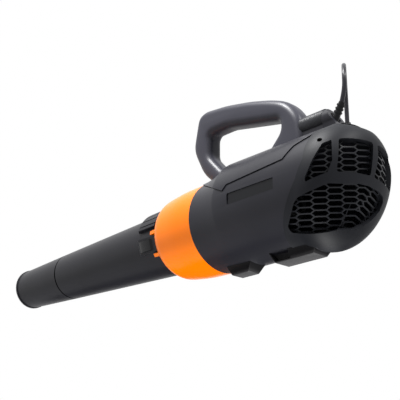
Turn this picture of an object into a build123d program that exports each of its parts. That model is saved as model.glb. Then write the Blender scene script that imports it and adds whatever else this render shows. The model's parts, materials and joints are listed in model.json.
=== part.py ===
"""Corded in-line leaf blower: a round motor body with a carrying handle, a grille at the back,
an axial fan in a coloured duct ring, and a long two-piece blower tube at the front.

Units are millimetres. X runs along the blower, with the outlet at -X and the grille at +X.
+Z is up, the feet stand on z = 0 and the part is symmetric left (-Y) to right (+Y).
Stations along the fan axis are counted from the front edge of the motor body.
"""
import os
from math import cos, hypot, pi, radians, sin, sqrt, tan

from build123d import *

os.makedirs("parts", exist_ok=True)

# Fits and walls
wall = 3.0
tube_wall = 2.2
seam = 0.4
lap_depth = 1.5
clearance = 0.3
sliding_fit = 0.15
running_fit = 0.05

# Motor body
front_radius = 75.0
collar_length = 28.0
collar_radius = 77.0
collar_rise = 1.5
shoulder_length = 62.0
body_radius = 83.0
body_rise = 7.0
axis_height = 88.0

# Rear dome, on a plane that leans towards the front at the bottom
dome_station = 229.0
dome_lean = 26.6
dome_depth = 70.0
cover_wall = 5.0

# Blower tube and nozzle
nozzle_reach = 557.0
nozzle_length = 143.0
nozzle_tip_radius = 37.6
nozzle_land = 25.0
tube_front_radius = 43.2
tube_rear_radius = 54.3
tube_spigot = 30.0
nozzle_spigot = 28.0

# Duct ring around the fan
duct_length = 98.0
duct_front_radius = 61.8
duct_wall = 3.0
duct_spigot = 14.0
sleeve_wall = 2.6
sleeve_stop = -66.0
sleeve_end = -63.0
vane_seat = -61.0

# Fan, guide vanes and shaft
hub_radius = 31.0
hub_wall = 3.0
fan_tip_gap = 1.5
fan_front = -36.0
fan_width = 30.0
blade_count = 9
blade_thickness = 2.4
root_pitch = 36.0
tip_pitch = 58.0
vane_count = 7
vane_width = 20.0
vane_thickness = 2.0
vane_pitch = 24.0
vane_ring_wall = 3.0
shaft_radius = 4.0
shaft_front = -46.0
nut_thickness = 6.0
nut_radius = 7.5

# Motor
pod_radius = 44.0
pod_wall = 2.5
pod_front = 8.0
pod_rear = 126.0
strut_count = 4
strut_thickness = 4.0
strut_length = 12.0
pod_ring_wall = 5.0
core_front = 42.0
core_length = 45.0
core_bore = 22.5
air_gap = 0.8
bearing_radius = 11.0
bearing_width = 7.0
front_bearing_at = 20.0
rear_bearing_at = 117.0
bracket_wall = 4.0
commutator_radius = 12.5
commutator_front = 95.0
commutator_length = 14.0

# Handle
grip_half_width = 17.0
grip_round = 11.0
dial_radius = 13.0
dial_width = 9.0
dial_rise = 2.5

# Cord
cord_radius = 3.5
guard_length = 36.0
guard_base_radius = 5.8
guard_tip_radius = 4.8
barrel_radius = 16.0

# Feet
front_foot_length = 54.0
front_foot_half_width = 17.0
rear_foot_length = 88.0
rear_foot_half_width = 22.0

# Places worked out from the sizes above
lean = radians(dome_lean)
dome_height = body_radius / cos(lean)
rear_reach = dome_station + sqrt((dome_depth * cos(lean)) ** 2 + (dome_height * sin(lean)) ** 2)
datum = (nozzle_reach - rear_reach) / 2
fan_axis = Axis((datum, 0, axis_height), (1, 0, 0))
side = Plane(origin=(datum, 0, axis_height), x_dir=(1, 0, 0), z_dir=(0, -1, 0))
dome_plane = Plane(
    origin=(datum + dome_station, 0, axis_height + body_rise),
    x_dir=(0, 1, 0),
    z_dir=(cos(lean), 0, -sin(lean)),
)
past_body = 2 * body_radius
duct_bore = front_radius - duct_wall
nozzle_seam = nozzle_length - nozzle_reach
tube_bore = tube_rear_radius - tube_wall
vane_bore = duct_bore - wall - clearance
fan_radius = vane_bore - fan_tip_gap
can_bore = pod_radius - pod_wall

# Side outlines of the joints between the housing mouldings
upper_line = [(-12, 66), (82, 19), (90, 27.5), (200, 36), (214, 55), (252, 72)]
rear_line = [(240, 150), (240, 24), (226, -3), (180, -54), (158, -82), (150, -120)]
upper_outline = upper_line + [(252, 150), (-12, 150)]
rear_outline = rear_line + [(340, -120), (340, 150)]


def station(s, rise=0.0):
    """The cross plane at a station of the fan axis, with its x along Y and its y along Z."""
    return Plane(origin=(datum + s, 0, axis_height + rise), x_dir=(0, 1, 0), z_dir=(1, 0, 0))


def turned(profile, axis=fan_axis, rise=0.0):
    """A ring, cone or pin turned about the fan axis from its (station, radius) corners."""
    with BuildPart() as ring:
        with BuildSketch(side):
            with BuildLine():
                Polyline(*[(s, rise + r) for s, r in profile], close=True)
            make_face()
        revolve(axis=axis)
    return ring.part


def prism(outline, half_width, inset=0.0):
    """A side outline carried across the body, drawn in by an inset."""
    with BuildPart() as block:
        with BuildSketch(side):
            with BuildLine():
                Polyline(*outline, close=True)
            make_face()
            if inset > 0:
                offset(amount=-inset, kind=Kind.INTERSECTION)
        extrude(amount=half_width, both=True)
    return block.part


def body_form(inset):
    """The round outer form of the motor body with its rear dome, made smaller by an inset."""
    with BuildPart() as barrel:
        with BuildSketch(station(0)):
            Circle(front_radius - inset)
        with BuildSketch(station(collar_length, collar_rise)):
            Circle(collar_radius - inset)
        with BuildSketch(station(shoulder_length, body_rise)):
            Circle(body_radius - inset)
        loft()
        with BuildSketch(station(shoulder_length, body_rise)):
            Circle(body_radius - inset)
        extrude(amount=past_body + dome_station)
        split(bisect_by=dome_plane, keep=Keep.BOTTOM)
    with BuildPart() as dome:
        Sphere(radius=body_radius - inset)
        scale(by=(1, 1 / cos(lean), (dome_depth - inset) / (body_radius - inset)))
        split(bisect_by=Plane.XY, keep=Keep.TOP)
    with BuildPart() as form:
        add(barrel.part)
        add(dome.part.moved(dome_plane.location))
    return form.part


def save(part, name):
    """Label a finished piece and write it."""
    part.label = name
    export_step(part, f"parts/{name}.step")


def cross_box(front, length, low, high, half_width):
    """A plain block between two stations and two heights, centred across the body."""
    return prism([(front, low), (front + length, low), (front + length, high), (front, high)], half_width)


def radial_plane(angle):
    """The plane through the fan axis at an angle from +Y towards +Z, with stations and radii as its x and y."""
    turn = radians(angle)
    return Plane(origin=(datum, 0, axis_height), x_dir=(1, 0, 0), z_dir=(0, -sin(turn), cos(turn)))


def blades(count, radii, pitches, middle, width, thickness):
    """Equal twisted blades round the fan axis, from one radius and pitch to another."""
    with BuildPart() as blade:
        for radius, pitch in zip(radii, pitches):
            section = Plane(
                origin=(datum + middle, 0, axis_height + radius), x_dir=(1, 0, 0), z_dir=(0, 0, 1)
            )
            with BuildSketch(section):
                Rectangle(width, thickness, rotation=pitch)
        loft()
    return [blade.part.rotate(fan_axis, 360 * number / count) for number in range(count)]


outer_form = body_form(0)
inner_form = body_form(wall)
cover_form = body_form(cover_wall)
lap_form = body_form(lap_depth)
with BuildPart() as skin:
    add(outer_form)
    add(inner_form, mode=Mode.SUBTRACT)
with BuildPart() as lap:
    add(lap_form)
    add(inner_form, mode=Mode.SUBTRACT)
    add(prism(upper_outline, past_body), mode=Mode.INTERSECT)

# Lower housing shells, left and right, with a plain recessed panel on the left flank
panel_front = 92.0
panel_length = 93.0
panel_low = -5.0
panel_height = 17.5
panel_depth = 1.6
panel_round = 2.0

cover_screws = [(-65, 53), (65, 53)]
cover_screw_seat = 254.0
cover_screw_length = 26.0
screw_radius = 2.0
screw_head_radius = 3.6
screw_head_height = 2.6
boss_radius = 5.0
boss_front = 222.0

with BuildPart() as screw_bosses:
    with BuildSketch(station(boss_front)):
        with Locations(*cover_screws):
            Circle(boss_radius)
    extrude(amount=cover_screw_seat - boss_front)
    add(outer_form, mode=Mode.INTERSECT)

with BuildPart() as lower_shell:
    add(skin.part)
    add(screw_bosses.part)
    add(prism(upper_outline, past_body), mode=Mode.SUBTRACT)
    add(prism(rear_outline, past_body), mode=Mode.SUBTRACT)
    with BuildSketch(station(cover_screw_seat)):
        with Locations(*cover_screws):
            Circle(screw_radius)
    extrude(amount=-cover_screw_length, mode=Mode.SUBTRACT)
    with BuildSketch(side.offset(body_radius - panel_depth)):
        with Locations((panel_front + panel_length / 2, panel_low + panel_height / 2)):
            RectangleRounded(panel_length, panel_height, panel_round)
    extrude(amount=past_body, mode=Mode.SUBTRACT)

for name, half in (("housing_left", Keep.TOP), ("housing_right", Keep.BOTTOM)):
    with BuildPart() as housing:
        add(lower_shell.part)
        split(bisect_by=Plane.XZ, keep=half)
    save(housing.part, name)

# Carrying handle, moulded in one with the upper housing shell, left and right halves
handle_outline = [
    (2, 66), (-28, 100), (-47, 132), (-50, 158), (-40, 192), (-16, 207.5),
    (40, 202), (100, 186), (145, 170.5), (170, 147), (181, 112), (184, 66),
]
handle_foot = 66.0
opening_outline = [(14, 91), (-18, 126), (-18, 166.5), (22, 166.5), (140, 140.5), (140, 119), (112, 91)]
opening_round = 9.0
handle_crest = 209.0
dial_place = (-6.0, handle_crest + dial_rise - dial_radius)
dial_gap = 0.6
dial_pin_radius = 2.0
dial_pin_length = 24.0
notch_count = 18
notch_width = 1.6
notch_depth = 0.9
module_front = 14.0
module_size = (42.0, 17.0, 19.0)
module_height = 184.0
module_round = 1.5
capacitor_place = (158.0, 116.0)
capacitor_size = (15.0, 17.0, 27.0)
barrel_front = 178.0
barrel_rear = 224.0
barrel_height = 115.5
saddle_front = 170.0
saddle_low = 70.0
saddle_high = 104.0
saddle_half_width = 12.0
slot_outline = [(171, 136), (176, 132), (162, 108), (160, 90), (156, 90), (158, 110)]
slot_depth = 5.0
barrel_axis = Axis((datum, 0, axis_height + barrel_height), (1, 0, 0))
collar_front = barrel_rear + seam
neck_half_width = 15.0
duct_room = front_radius + clearance
handle_screws = [(-34, 150), (84, 176), (152, 156)]
screw_seat = 11.0
screw_length = 20.0

with BuildPart() as bow:
    with BuildSketch(side):
        with BuildLine():
            crest = Spline(*handle_outline)
            Line(crest @ 1, crest @ 0)
        make_face()
        with BuildLine():
            FilletPolyline(*opening_outline, radius=opening_round, close=True)
        make_face(mode=Mode.SUBTRACT)
    extrude(amount=grip_half_width, both=True)
    rims = bow.faces().filter_by(Axis.Y).edges().filter_by(
        lambda edge: abs(abs(edge.center().Y) - grip_half_width) < running_fit
        and edge.center().Z > axis_height + handle_foot + 1
    )
    fillet(rims, radius=grip_round)
    add(cross_box(saddle_front, barrel_rear - saddle_front, saddle_low, saddle_high, saddle_half_width))
    add(inner_form, mode=Mode.SUBTRACT)
    add(turned([(0, 0), (0, duct_room), (-duct_length, duct_room), (-duct_length, 0)]), mode=Mode.SUBTRACT)
    for away in (1, -1):
        with BuildSketch(side.offset(away * (grip_half_width - slot_depth))):
            with BuildLine():
                Polyline(*slot_outline, close=True)
            make_face()
        extrude(amount=away * past_body, mode=Mode.SUBTRACT)

with BuildPart() as upper_shell:
    add(skin.part)
    add(prism(upper_outline, past_body, seam), mode=Mode.INTERSECT)
    add(lap.part)
    add(prism(rear_outline, past_body), mode=Mode.SUBTRACT)
    add(bow.part)
    with BuildSketch(side):
        with Locations(dial_place):
            Circle(dial_radius + dial_gap)
    extrude(amount=dial_width / 2 + dial_gap, both=True, mode=Mode.SUBTRACT)
    with BuildSketch(side):
        with Locations(dial_place):
            Circle(dial_pin_radius)
    extrude(amount=dial_pin_length / 2, both=True, mode=Mode.SUBTRACT)
    with BuildSketch(side):
        with Locations((module_front + module_size[0] / 2, module_height)):
            Rectangle(module_size[0] + 2 * clearance, module_size[2] + 2 * clearance)
        with Locations(capacitor_place):
            Rectangle(capacitor_size[0] + 2 * clearance, capacitor_size[2] + 2 * clearance)
    extrude(amount=module_size[1] / 2, both=True, mode=Mode.SUBTRACT)
    with BuildSketch(station(barrel_front, barrel_height)):
        Circle(barrel_radius)
    extrude(amount=past_body, mode=Mode.SUBTRACT)
    add(
        cross_box(barrel_rear, past_body, saddle_low, barrel_height, neck_half_width + seam),
        mode=Mode.SUBTRACT,
    )
    with BuildSketch(side.offset(-screw_seat)):
        with Locations(*handle_screws):
            Circle(screw_head_radius + clearance)
    extrude(amount=-past_body, mode=Mode.SUBTRACT)
    with BuildSketch(side.offset(-screw_seat)):
        with Locations(*handle_screws):
            Circle(screw_radius)
    extrude(amount=screw_length, mode=Mode.SUBTRACT)

for name, half in (("handle_left", Keep.TOP), ("handle_right", Keep.BOTTOM)):
    with BuildPart() as handle:
        add(upper_shell.part)
        split(bisect_by=Plane.XZ, keep=half)
    save(handle.part, name)

with BuildPart() as handle_screw_set:
    with BuildSketch(side.offset(-screw_seat)):
        with Locations(*handle_screws):
            Circle(screw_radius)
    extrude(amount=screw_length)
    with BuildSketch(side.offset(-screw_seat)):
        with Locations(*handle_screws):
            Circle(screw_head_radius)
    extrude(amount=-screw_head_height)
save(handle_screw_set.part, "handle_screws")

# Speed dial on its pin, the speed module behind it and the suppressor in the rear post
with BuildPart() as speed_dial:
    with BuildSketch(side):
        with Locations(dial_place):
            Circle(dial_radius)
            with PolarLocations(dial_radius, notch_count):
                Rectangle(2 * notch_depth, notch_width, mode=Mode.SUBTRACT)
            Circle(dial_pin_radius + running_fit, mode=Mode.SUBTRACT)
    extrude(amount=dial_width / 2, both=True)
save(speed_dial.part, "speed_dial")

with BuildPart() as dial_pin:
    with BuildSketch(side):
        with Locations(dial_place):
            Circle(dial_pin_radius)
    extrude(amount=dial_pin_length / 2, both=True)
save(dial_pin.part, "dial_pin")

with BuildPart() as speed_module:
    with BuildSketch(side):
        with Locations((module_front + module_size[0] / 2, module_height)):
            RectangleRounded(module_size[0], module_size[2], module_round)
    extrude(amount=module_size[1] / 2, both=True)
save(speed_module.part, "speed_module")

with BuildPart() as suppressor:
    with BuildSketch(side):
        with Locations(capacitor_place):
            RectangleRounded(capacitor_size[0], capacitor_size[2], module_round)
    extrude(amount=capacitor_size[1] / 2, both=True)
save(suppressor.part, "suppressor")

# Rear cover: a domed frame with five windows and the ring that the cord leaves by
collar_rear = 250.0
collar_height = 112.0
collar_outer = 17.5
collar_bore = 10.5
collar_face = Plane(
    origin=(datum + 236.5, 0, axis_height + 115.5), x_dir=(0, 1, 0), z_dir=(0.85, 0, 0.53)
)
neck_depth = 12.0
upper_window = [(-5.5, 53), (-48, 50), (-56, 4), (-5.5, 4)]
flank_window = [(-59, 49), (-62, 12), (-67, 0), (-79, -9), (-81, 0), (-77, 22), (-69, 43)]
lower_half = [(-62, -15), (-75, -26), (-71, -40), (-58, -55), (-34, -63)]
lower_window = [(0, -10)] + lower_half + [(0, -66)] + [(-y, z) for y, z in reversed(lower_half)]
window_round = 4.0

with BuildPart() as cord_ring:
    with BuildSketch(station(collar_front, collar_height)):
        Circle(collar_outer)
        with Locations((0, -collar_outer / 2 - neck_depth / 2)):
            Rectangle(2 * neck_half_width, collar_outer + neck_depth)
    extrude(amount=collar_rear - collar_front)
    split(bisect_by=collar_face, keep=Keep.BOTTOM)
    add(cover_form, mode=Mode.SUBTRACT)

with BuildPart() as cover_lap:
    add(lap_form)
    add(cover_form, mode=Mode.SUBTRACT)
    add(prism(rear_outline, past_body), mode=Mode.INTERSECT)

with BuildPart() as rear_cover:
    add(outer_form)
    add(cover_form, mode=Mode.SUBTRACT)
    add(prism(rear_outline, past_body, seam), mode=Mode.INTERSECT)
    add(cover_lap.part)
    with BuildSketch(station(dome_station)):
        for mirrored in (1, -1):
            for outline in (upper_window, flank_window):
                with BuildLine():
                    FilletPolyline(
                        *[(mirrored * y, z) for y, z in outline], radius=window_round / 2, close=True
                    )
                make_face()
        with BuildLine():
            FilletPolyline(*lower_window, radius=window_round, close=True)
        make_face()
    extrude(amount=past_body, mode=Mode.SUBTRACT)
    add(cord_ring.part)
    with BuildSketch(station(collar_front, collar_height)):
        Circle(collar_bore)
    extrude(amount=past_body, mode=Mode.SUBTRACT)
    with BuildSketch(station(cover_screw_seat)):
        with Locations(*cover_screws):
            Circle(screw_head_radius + clearance)
    extrude(amount=past_body, mode=Mode.SUBTRACT)
    with BuildSketch(station(cover_screw_seat)):
        with Locations(*cover_screws):
            Circle(screw_radius)
    extrude(amount=-cover_screw_length, mode=Mode.SUBTRACT)
save(rear_cover.part, "rear_cover")

with BuildPart() as cover_screw_set:
    with BuildSketch(station(cover_screw_seat)):
        with Locations(*cover_screws):
            Circle(screw_radius)
    extrude(amount=-cover_screw_length)
    with BuildSketch(station(cover_screw_seat)):
        with Locations(*cover_screws):
            Circle(screw_head_radius)
    extrude(amount=screw_head_height)
save(cover_screw_set.part, "cover_screws")

# Honeycomb intake screen, domed to lie inside the rear cover, with cells stretched sideways
screen_thickness = 2.4
cell_across = 20.0
cell_up = 8.6
cell_slant = 5.0
cell_rib = 1.6
screen_radius = 75.0
screen_low = -67.0
screen_high = 55.0
screen_margin = 5.0
screen_inset = cover_wall + running_fit
half_length = (cell_across + cell_slant - cell_rib) / 2
half_flat = (cell_across - cell_slant - cell_rib) / 2
half_height = (cell_up - cell_rib) / 2
cell_outline = [
    (half_length, 0), (half_flat, half_height), (-half_flat, half_height),
    (-half_length, 0), (-half_flat, -half_height), (half_flat, -half_height),
]
cell_columns = int(screen_radius / cell_across)
cell_rows = int(screen_radius / cell_up)
cells = [
    (column * cell_across, body_rise + (row + (column % 2) / 2) * cell_up)
    for column in range(-cell_columns, cell_columns + 1)
    for row in range(-cell_rows, cell_rows)
]
cells = [
    (y, z) for y, z in cells
    if screen_low < z < screen_high and hypot(y, z - body_rise) < screen_radius
]

with BuildPart() as intake_screen:
    add(body_form(screen_inset))
    add(body_form(screen_inset + screen_thickness), mode=Mode.SUBTRACT)
    add(prism(rear_outline, past_body, screen_margin), mode=Mode.INTERSECT)
    with BuildSketch(station(dome_station - body_radius)):
        with Locations(*cells):
            Polygon(*cell_outline, align=None)
        with Locations(*cover_screws):
            Circle(boss_radius + clearance)
    extrude(amount=2 * past_body, mode=Mode.SUBTRACT)
save(intake_screen.part, "intake_screen")

# Duct ring round the fan, with the sleeve that takes the tube and two prongs beside each latch
latch_angles = {"latch_left": 195.0, "latch_right": -15.0}
latch_half_width = 13.0
prong_width = 6.0
prong_length = 14.0
prong_gap = 1.5
sleeve_bore = tube_rear_radius + sliding_fit
duct_curve = [(-duct_length, duct_front_radius), (-92, 66.5), (-75, 70.5), (-45, 73.6), (0, front_radius)]
duct_inside = [
    (0, duct_bore - clearance),
    (duct_spigot, duct_bore - clearance),
    (duct_spigot, vane_bore),
    (vane_seat, vane_bore),
    (vane_seat, vane_bore - vane_ring_wall),
    (-80, vane_bore - vane_ring_wall),
    (-92, 61),
    (-92, sleeve_bore + sleeve_wall),
    (sleeve_end, sleeve_bore + sleeve_wall),
    (sleeve_end, tube_bore),
    (sleeve_stop, tube_bore),
    (sleeve_stop, sleeve_bore),
    (-duct_length, sleeve_bore),
]
prong_turn = (latch_half_width + prong_gap + prong_width / 2) / tube_rear_radius * 180 / pi

with BuildPart() as fan_duct:
    with BuildSketch(side):
        with BuildLine():
            Spline(*duct_curve)
            Polyline(duct_curve[-1], *duct_inside, duct_curve[0])
        make_face()
    revolve(axis=fan_axis)
    for angle in latch_angles.values():
        for turn in (angle - prong_turn, angle + prong_turn):
            with BuildSketch(radial_plane(turn)):
                with BuildLine():
                    Polyline(
                        (-duct_length - prong_length, sleeve_bore + clearance),
                        (-duct_length - prong_length, duct_front_radius - 2),
                        (-duct_length, duct_front_radius),
                        (2 - duct_length, duct_front_radius),
                        (2 - duct_length, sleeve_bore + clearance),
                        close=True,
                    )
                make_face()
            extrude(amount=prong_width / 2, both=True)
save(fan_duct.part, "fan_duct")

# Blower tube: a tapered pipe with ribbed grip pads, a seating collar and a raised pad for each latch
tube_front = nozzle_seam
grip_front = -152.0
grip_rear = -104.0
grip_low = 58.5
grip_high = 60.0
grip_start = 15.0
grip_sweep = 60.0
groove_count = 5
groove_width = 2.2
groove_depth = 2.0
seat_collar_width = 6.0
seat_collar_radius = 57.5
latch_front = -150.0
latch_rear = -101.0
pad_radius = 59.0
pocket_front = -141.0
pocket_rear = -109.0
pocket_floor = 54.4
latch_travel = 3.0
latch_top = 62.0
taper_at = -120.0
taper_radius = 54.0
button_half_width = 9.0
latch_room = 25.0
seat_arcs = [(latch_room - 15, 210 - 2 * latch_room), (195 + latch_room, 150 - 2 * latch_room)]

with BuildPart() as grip_pads:
    for start in (grip_start, 180 - grip_start - grip_sweep):
        with BuildSketch(radial_plane(start)):
            with BuildLine():
                Polyline(
                    (grip_front, taper_radius - 2),
                    (grip_front + 5, grip_low),
                    (grip_rear, grip_high),
                    (grip_rear, taper_radius - 2),
                    close=True,
                )
            make_face()
        revolve(axis=fan_axis, revolution_arc=grip_sweep)
    for start in (grip_start, 180 - grip_start - grip_sweep):
        with BuildSketch(station(grip_front)):
            with PolarLocations(
                grip_high, groove_count, start + grip_sweep / (2 * groove_count), grip_sweep
            ):
                Rectangle(2 * groove_depth, groove_width)
        extrude(amount=grip_rear - grip_front, mode=Mode.SUBTRACT)

with BuildPart() as blower_tube:
    add(
        turned([
            (tube_front, tube_front_radius),
            (taper_at, taper_radius),
            (-duct_length - seat_collar_width, tube_rear_radius),
            (tube_spigot - duct_length, tube_rear_radius),
            (tube_spigot - duct_length, tube_bore),
            (taper_at, tube_bore),
            (tube_front, tube_front_radius - tube_wall),
        ])
    )
    add(grip_pads.part)
    for start, sweep_angle in seat_arcs:
        with BuildSketch(radial_plane(start)):
            with Locations((-duct_length - seat_collar_width / 2, (seat_collar_radius + tube_bore) / 2)):
                Rectangle(seat_collar_width, seat_collar_radius - tube_bore - 1)
        revolve(axis=fan_axis, revolution_arc=sweep_angle)
    for angle in latch_angles.values():
        with BuildSketch(radial_plane(angle)):
            with BuildLine():
                Polyline(
                    (latch_front, tube_bore + tube_wall / 2),
                    (latch_front + 8, pad_radius),
                    (latch_rear, pad_radius),
                    (latch_rear, tube_bore + tube_wall / 2),
                    close=True,
                )
            make_face()
        extrude(amount=latch_half_width, both=True)
        with BuildSketch(radial_plane(angle)):
            with Locations(((pocket_front + pocket_rear) / 2, pocket_floor + pad_radius / 2)):
                Rectangle(pocket_rear - pocket_front, pad_radius)
        extrude(amount=button_half_width + running_fit, both=True, mode=Mode.SUBTRACT)
save(blower_tube.part, "blower_tube")

for name, angle in latch_angles.items():
    with BuildPart() as latch:
        with BuildSketch(radial_plane(angle)):
            with BuildLine():
                Polyline(
                    (pocket_front + running_fit, pocket_floor + latch_travel + clearance),
                    (pocket_front + running_fit, pad_radius),
                    (pocket_front + 9, latch_top),
                    (pocket_rear - 3, latch_top),
                    (pocket_rear - running_fit, pad_radius),
                    (pocket_rear - running_fit, pocket_floor + latch_travel + clearance),
                    close=True,
                )
            make_face()
        extrude(amount=button_half_width, both=True)
    save(latch.part, name)

# Sealing ring at the inner end of the tube
with BuildPart() as tube_seal:
    add(
        turned([
            (tube_spigot - duct_length, tube_bore),
            (tube_spigot - duct_length, tube_rear_radius),
            (sleeve_stop, tube_rear_radius),
            (sleeve_stop, tube_bore),
        ])
    )
save(tube_seal.part, "tube_seal")

# Nozzle tip with a spigot in the tube, a straight outlet land and a bead round the outlet
spigot_radius = tube_front_radius - tube_wall - sliding_fit
bead_length = 4.0
bead_rise = 1.2
outlet_radius = nozzle_tip_radius - tube_wall

with BuildPart() as nozzle_tip:
    add(
        turned([
            (-nozzle_reach, outlet_radius),
            (-nozzle_reach, nozzle_tip_radius + bead_rise),
            (bead_length - nozzle_reach, nozzle_tip_radius + bead_rise),
            (bead_length - nozzle_reach, nozzle_tip_radius),
            (tube_front, tube_front_radius),
            (tube_front, spigot_radius),
            (tube_front + nozzle_spigot, spigot_radius),
            (tube_front + nozzle_spigot, spigot_radius - tube_wall),
            (tube_front, spigot_radius - tube_wall),
            (nozzle_land - nozzle_reach, outlet_radius),
        ])
    )
save(nozzle_tip.part, "nozzle_tip")

# Guide vanes in front of the fan, with the cone that closes their hub
vane_rear = vane_seat + vane_width
vane_outer = vane_bore - running_fit
vane_inner = vane_outer - vane_ring_wall
cone_tip = -112.0
cone_wall = 2.0

with BuildPart() as guide_vanes:
    add(turned([(vane_seat, vane_inner), (vane_seat, vane_outer), (vane_rear, vane_outer), (vane_rear, vane_inner)]))
    add(
        turned([
            (vane_seat, hub_radius - hub_wall),
            (vane_seat, hub_radius),
            (vane_rear, hub_radius),
            (vane_rear, hub_radius - hub_wall),
        ])
    )
    add(
        blades(
            vane_count,
            (hub_radius - hub_wall / 2, vane_inner + vane_ring_wall / 2),
            (-vane_pitch, -vane_pitch),
            vane_seat + vane_width / 2,
            vane_width - 2,
            vane_thickness,
        )
    )
save(guide_vanes.part, "guide_vanes")

with BuildPart() as outlet_cone:
    add(
        turned([
            (vane_seat, hub_radius),
            (-80, 26),
            (-100, 15),
            (cone_tip + 2, 6),
            (cone_tip, 0),
            (cone_tip + 2 * cone_wall, 0),
            (-99, 13),
            (-79, 24),
            (vane_seat, hub_radius - hub_wall),
        ])
    )
save(outlet_cone.part, "outlet_cone")

# Fan with its nut and the motor shaft
hub_face = 4.0
fan_boss_radius = 9.0
fan_boss_length = 24.0
fan_rear = fan_front + fan_width
shaft_rear = rear_bearing_at + bearing_width

with BuildPart() as fan:
    add(
        turned([
            (fan_front, shaft_radius),
            (fan_front, hub_radius),
            (fan_rear, hub_radius),
            (fan_rear, hub_radius - hub_wall),
            (fan_front + hub_face, hub_radius - hub_wall),
            (fan_front + hub_face, fan_boss_radius),
            (fan_front + fan_boss_length, fan_boss_radius),
            (fan_front + fan_boss_length, shaft_radius),
        ])
    )
    add(
        blades(
            blade_count,
            (hub_radius - hub_wall + 1, fan_radius + 2),
            (root_pitch, tip_pitch),
            fan_front + fan_width / 2,
            fan_width,
            blade_thickness,
        )
    )
    with BuildSketch(station(fan_front)):
        Circle(fan_radius)
    extrude(amount=fan_width, mode=Mode.INTERSECT)
save(fan.part, "fan")

with BuildPart() as fan_nut:
    with BuildSketch(station(fan_front - nut_thickness)):
        RegularPolygon(nut_radius, 6)
        Circle(shaft_radius, mode=Mode.SUBTRACT)
    extrude(amount=nut_thickness)
save(fan_nut.part, "fan_nut")

with BuildPart() as shaft:
    add(turned([(shaft_front, 0), (shaft_front, shaft_radius), (shaft_rear, shaft_radius), (shaft_rear, 0)]))
save(shaft.part, "shaft")

# Motor pod: a can held in the middle of the air path by a ring and four struts
ring_outer = duct_bore - clearance
ring_inner = ring_outer - pod_ring_wall

with BuildPart() as motor_pod:
    add(turned([(pod_front, can_bore), (pod_front, pod_radius), (pod_rear, pod_radius), (pod_rear, can_bore)]))
    add(
        turned([
            (duct_spigot, ring_inner),
            (duct_spigot, ring_outer),
            (duct_spigot + strut_length, ring_outer),
            (duct_spigot + strut_length, ring_inner),
        ])
    )
    with BuildSketch(station(duct_spigot)):
        with PolarLocations((pod_radius + ring_inner) / 2, strut_count, 180 / strut_count):
            Rectangle(ring_inner - pod_radius + pod_wall, strut_thickness)
    extrude(amount=strut_length)
save(motor_pod.part, "motor_pod")

tail_length = 30.0
tail_hole = 14.0
tail_wall = 2.0
with BuildPart() as tail_cone:
    add(
        turned([
            (pod_rear, can_bore),
            (pod_rear, pod_radius),
            (pod_rear + 0.5 * tail_length, pod_radius - 5),
            (pod_rear + tail_length, tail_hole + 8),
            (pod_rear + tail_length, tail_hole),
            (pod_rear + tail_length - tail_wall, tail_hole),
            (pod_rear + tail_length - tail_wall, tail_hole + 6),
            (pod_rear + 0.5 * tail_length, pod_radius - 5 - pod_wall),
        ])
    )
save(tail_cone.part, "tail_cone")

# Bearings and the brackets that hold them in the can
vent_count = 6
vent_radius = 7.0
vent_circle = 28.0
bracket_hub = 15.0
shaft_room = 6.0
bracket_radius = can_bore - running_fit

for name, seat, facing in (("front", front_bearing_at + bearing_width, -1), ("rear", rear_bearing_at, 1)):
    with BuildPart() as bearing:
        add(
            turned([
                (seat, shaft_radius + running_fit),
                (seat, bearing_radius),
                (seat + facing * bearing_width, bearing_radius),
                (seat + facing * bearing_width, shaft_radius + running_fit),
            ])
        )
    save(bearing.part, f"{name}_bearing")
    with BuildPart() as bracket:
        add(
            turned([
                (seat - facing * bracket_wall, shaft_room),
                (seat - facing * bracket_wall, bracket_radius),
                (seat, bracket_radius),
                (seat, bracket_hub),
                (seat + facing * bearing_width, bracket_hub),
                (seat + facing * bearing_width, bearing_radius),
                (seat, bearing_radius),
                (seat, shaft_room),
            ])
        )
        with BuildSketch(station(seat)):
            with PolarLocations(vent_circle, vent_count):
                RegularPolygon(vent_radius, 4)
        extrude(amount=-facing * bracket_wall, mode=Mode.SUBTRACT)
    save(bracket.part, f"{name}_bracket")

# Field: laminated core with two poles and a coil on each
core_yoke = 34.0
pole_width = 16.0
shoe_width = 36.0
shoe_high = 28.0
coil_width = 34.0
coil_end = 8.0
coil_fit = 0.2

with BuildPart() as field_core:
    with BuildSketch(station(core_front)):
        Circle(bracket_radius)
        Circle(core_yoke, mode=Mode.SUBTRACT)
        with Locations((0, core_yoke / 2 + core_bore / 2), (0, -core_yoke / 2 - core_bore / 2)):
            Rectangle(pole_width, core_yoke - core_bore + wall)
        with Locations((0, shoe_high / 2), (0, -shoe_high / 2)):
            Rectangle(shoe_width, shoe_high)
        Circle(core_bore, mode=Mode.SUBTRACT)
        Rectangle(2 * core_yoke, 2 * core_bore - shoe_width, mode=Mode.SUBTRACT)
    extrude(amount=core_length)
save(field_core.part, "field_core")

with BuildPart() as field_coils:
    with BuildSketch(station(core_front - coil_end)):
        with Locations((0, core_yoke), (0, -core_yoke)):
            Rectangle(coil_width, 2 * (core_yoke - shoe_high))
        Circle(core_yoke, mode=Mode.INTERSECT)
    extrude(amount=core_length + 2 * coil_end)
    with BuildSketch(station(core_front)):
        Rectangle(pole_width, 2 * core_yoke)
    extrude(amount=core_length, mode=Mode.SUBTRACT)
save(field_coils.part, "field_coils")

# Armature: core, end windings and commutator on the shaft
armature_radius = core_bore - air_gap
winding_radius = 19.0
winding_end = 8.0
slot_count = 12
armature_slot = (5.0, 2.0)
bar_gap = 0.9

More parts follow.
